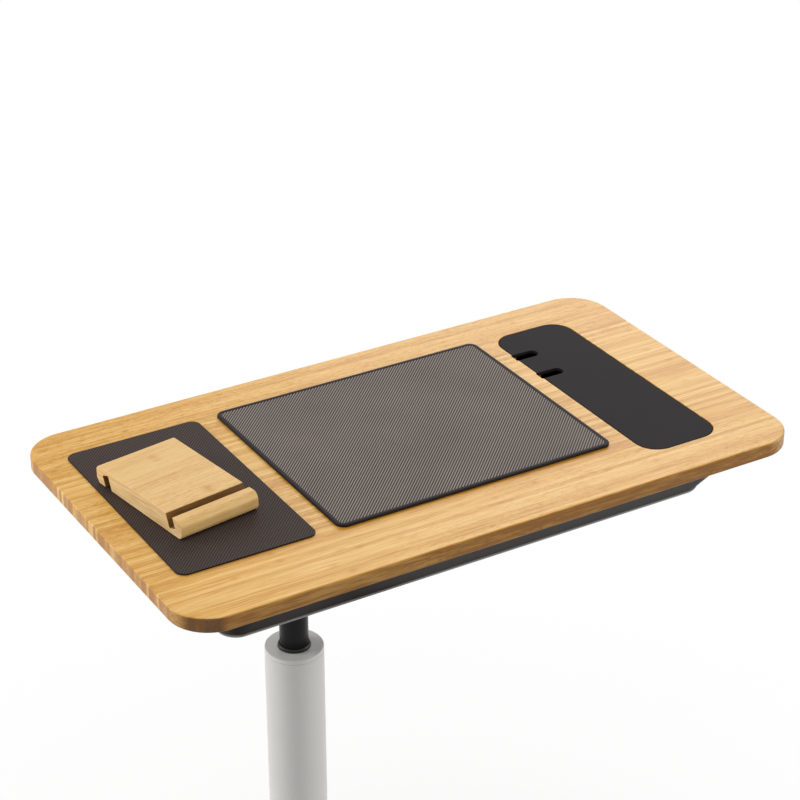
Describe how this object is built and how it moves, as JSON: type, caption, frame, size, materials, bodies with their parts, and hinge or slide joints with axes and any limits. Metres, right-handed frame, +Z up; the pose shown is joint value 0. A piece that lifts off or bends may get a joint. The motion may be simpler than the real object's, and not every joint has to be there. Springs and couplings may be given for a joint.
{
  "type": "bike trainer desk",
  "caption": "Height-adjustable desk for an indoor bike trainer: bamboo tabletop with mats, phone block, flush cable lid and tray, on a gas-lift column over a wheeled base.",
  "frame": {"origin": "on the floor under the middle of the tabletop, at the bottom centre of the whole object's bounding box", "axes": "+Z up; +X to the rider's right; +Y away from the rider, so the base is open towards -Y"},
  "size_m": [0.711, 0.69, 0.9469],
  "materials": {
    "bamboo_board": "satin lacquer",
    "bamboo_block": "oiled",
    "mat_weave": "woven matt",
    "lid_black": "fine texture",
    "tray_black": "semi-gloss powder coat",
    "pole_black": "gloss black",
    "moulded_black": "satin",
    "pale_grey": "satin powder coat",
    "base_black": "satin powder coat",
    "cast_grey": "as cast",
    "zinc": "zinc plated",
    "bright_steel": "ground",
    "tyre_grey": "matt"
  },
  "bodies": {
    "base": {"base_left_rail": "base_black", "base_right_rail": "base_black", "base_rear_rail": "base_black", "rail_plug_front_left": "moulded_black", "rail_plug_rear_left": "moulded_black", "rail_plug_front_right": "moulded_black", "rail_plug_rear_right": "moulded_black", "column_foot": "base_black", "foot_bolt_front_left": "zinc", "foot_bolt_front_right": "zinc", "foot_bolt_rear_right": "zinc", "foot_bolt_rear_left": "zinc", "outer_column": "pale_grey", "guide_sleeve": "moulded_black", "column_cap": "pale_grey", "piston_rod": "bright_steel", "piston": "moulded_black", "caster_mount_front_left": "zinc", "caster_mount_front_right": "zinc", "caster_mount_rear_left": "zinc", "caster_mount_rear_right": "zinc"},
    "desk": {"desktop": "bamboo_board", "left_mat": "mat_weave", "laptop_mat": "mat_weave", "tray": "tray_black", "support_bracket": "zinc", "column_hub": "cast_grey", "hub_bolt_front_left": "zinc", "hub_bolt_front_right": "zinc", "hub_bolt_rear_right": "zinc", "hub_bolt_rear_left": "zinc", "hub_set_screw_upper": "zinc", "hub_set_screw_lower": "zinc", "gas_cylinder": "pole_black", "cylinder_gland": "moulded_black", "lever_pin": "bright_steel"},
    "lever": {"release_lever": "base_black", "lever_grip": "moulded_black"},
    "valve_pin": {"release_pin": "bright_steel"},
    "lid": {"cable_lid": "lid_black"},
    "stand": {"phone_stand": "bamboo_block"},
    "swivel_front_left": {"caster_fork_front_left": "base_black", "caster_axle_front_left": "zinc"},
    "wheel_front_left": {"wheel_core_front_left": "moulded_black", "wheel_tyre_front_left": "tyre_grey"},
    "pedal_front_left": {"brake_pedal_front_left": "moulded_black"},
    "swivel_front_right": {"caster_fork_front_right": "base_black", "caster_axle_front_right": "zinc"},
    "wheel_front_right": {"wheel_core_front_right": "moulded_black", "wheel_tyre_front_right": "tyre_grey"},
    "pedal_front_right": {"brake_pedal_front_right": "moulded_black"},
    "swivel_rear_left": {"caster_fork_rear_left": "base_black", "caster_axle_rear_left": "zinc"},
    "wheel_rear_left": {"wheel_core_rear_left": "moulded_black", "wheel_tyre_rear_left": "tyre_grey"},
    "swivel_rear_right": {"caster_fork_rear_right": "base_black", "caster_axle_rear_right": "zinc"},
    "wheel_rear_right": {"wheel_core_rear_right": "moulded_black", "wheel_tyre_rear_right": "tyre_grey"}
  },
  "joints": [
    {"name": "height_slide", "type": "slide", "parent": "base", "child": "desk", "axis": [0, 0, 1], "range_m": [-0.04, 0.27]},
    {"name": "lever_hinge", "type": "hinge", "parent": "desk", "child": "lever", "pos_m": [-0.162, 0, 0.81582], "axis": [0, 1, 0], "range_deg": [0, 7], "stiffness_Nm_per_rad": 1.5},
    {"name": "valve_slide", "type": "slide", "parent": "desk", "child": "valve_pin", "axis": [0, 0, 1], "range_m": [-0.003, 0]},
    {"name": "lid_lift", "type": "slide", "parent": "desk", "child": "lid", "axis": [0, 0, 1], "range_m": [0, 0.06]},
    {"name": "stand_lift", "type": "slide", "parent": "desk", "child": "stand", "axis": [0, 0, 1], "range_m": [0, 0.06]},
    {"name": "swivel_turn_front_left", "type": "hinge", "parent": "base", "child": "swivel_front_left", "pos_m": [-0.143, -0.28, 0.055], "axis": [0, 0, 1], "continuous": true},
    {"name": "wheel_roll_front_left", "type": "hinge", "parent": "swivel_front_left", "child": "wheel_front_left", "pos_m": [-0.143, -0.3, 0.02452], "axis": [1, 0, 0], "continuous": true},
    {"name": "pedal_press_front_left", "type": "hinge", "parent": "swivel_front_left", "child": "pedal_front_left", "pos_m": [-0.143, -0.318, 0.04972], "axis": [1, 0, 0], "range_deg": [0, 15]},
    {"name": "swivel_turn_front_right", "type": "hinge", "parent": "base", "child": "swivel_front_right", "pos_m": [0.243, -0.28, 0.055], "axis": [0, 0, 1], "continuous": true},
    {"name": "wheel_roll_front_right", "type": "hinge", "parent": "swivel_front_right", "child": "wheel_front_right", "pos_m": [0.243, -0.3, 0.02452], "axis": [1, 0, 0], "continuous": true},
    {"name": "pedal_press_front_right", "type": "hinge", "parent": "swivel_front_right", "child": "pedal_front_right", "pos_m": [0.243, -0.318, 0.04972], "axis": [1, 0, 0], "range_deg": [0, 15]},
    {"name": "swivel_turn_rear_left", "type": "hinge", "parent": "base", "child": "swivel_rear_left", "pos_m": [-0.143, 0.28, 0.055], "axis": [0, 0, 1], "continuous": true},
    {"name": "wheel_roll_rear_left", "type": "hinge", "parent": "swivel_rear_left", "child": "wheel_rear_left", "pos_m": [-0.143, 0.3, 0.02452], "axis": [1, 0, 0], "continuous": true},
    {"name": "swivel_turn_rear_right", "type": "hinge", "parent": "base", "child": "swivel_rear_right", "pos_m": [0.243, 0.28, 0.055], "axis": [0, 0, 1], "continuous": true},
    {"name": "wheel_roll_rear_right", "type": "hinge", "parent": "swivel_rear_right", "child": "wheel_rear_right", "pos_m": [0.243, 0.3, 0.02452], "axis": [1, 0, 0], "continuous": true}
  ],
  "couplings": [
    {"joint": "valve_slide", "follows": "lever_hinge", "m_per_rad": -0.022}
  ]
}
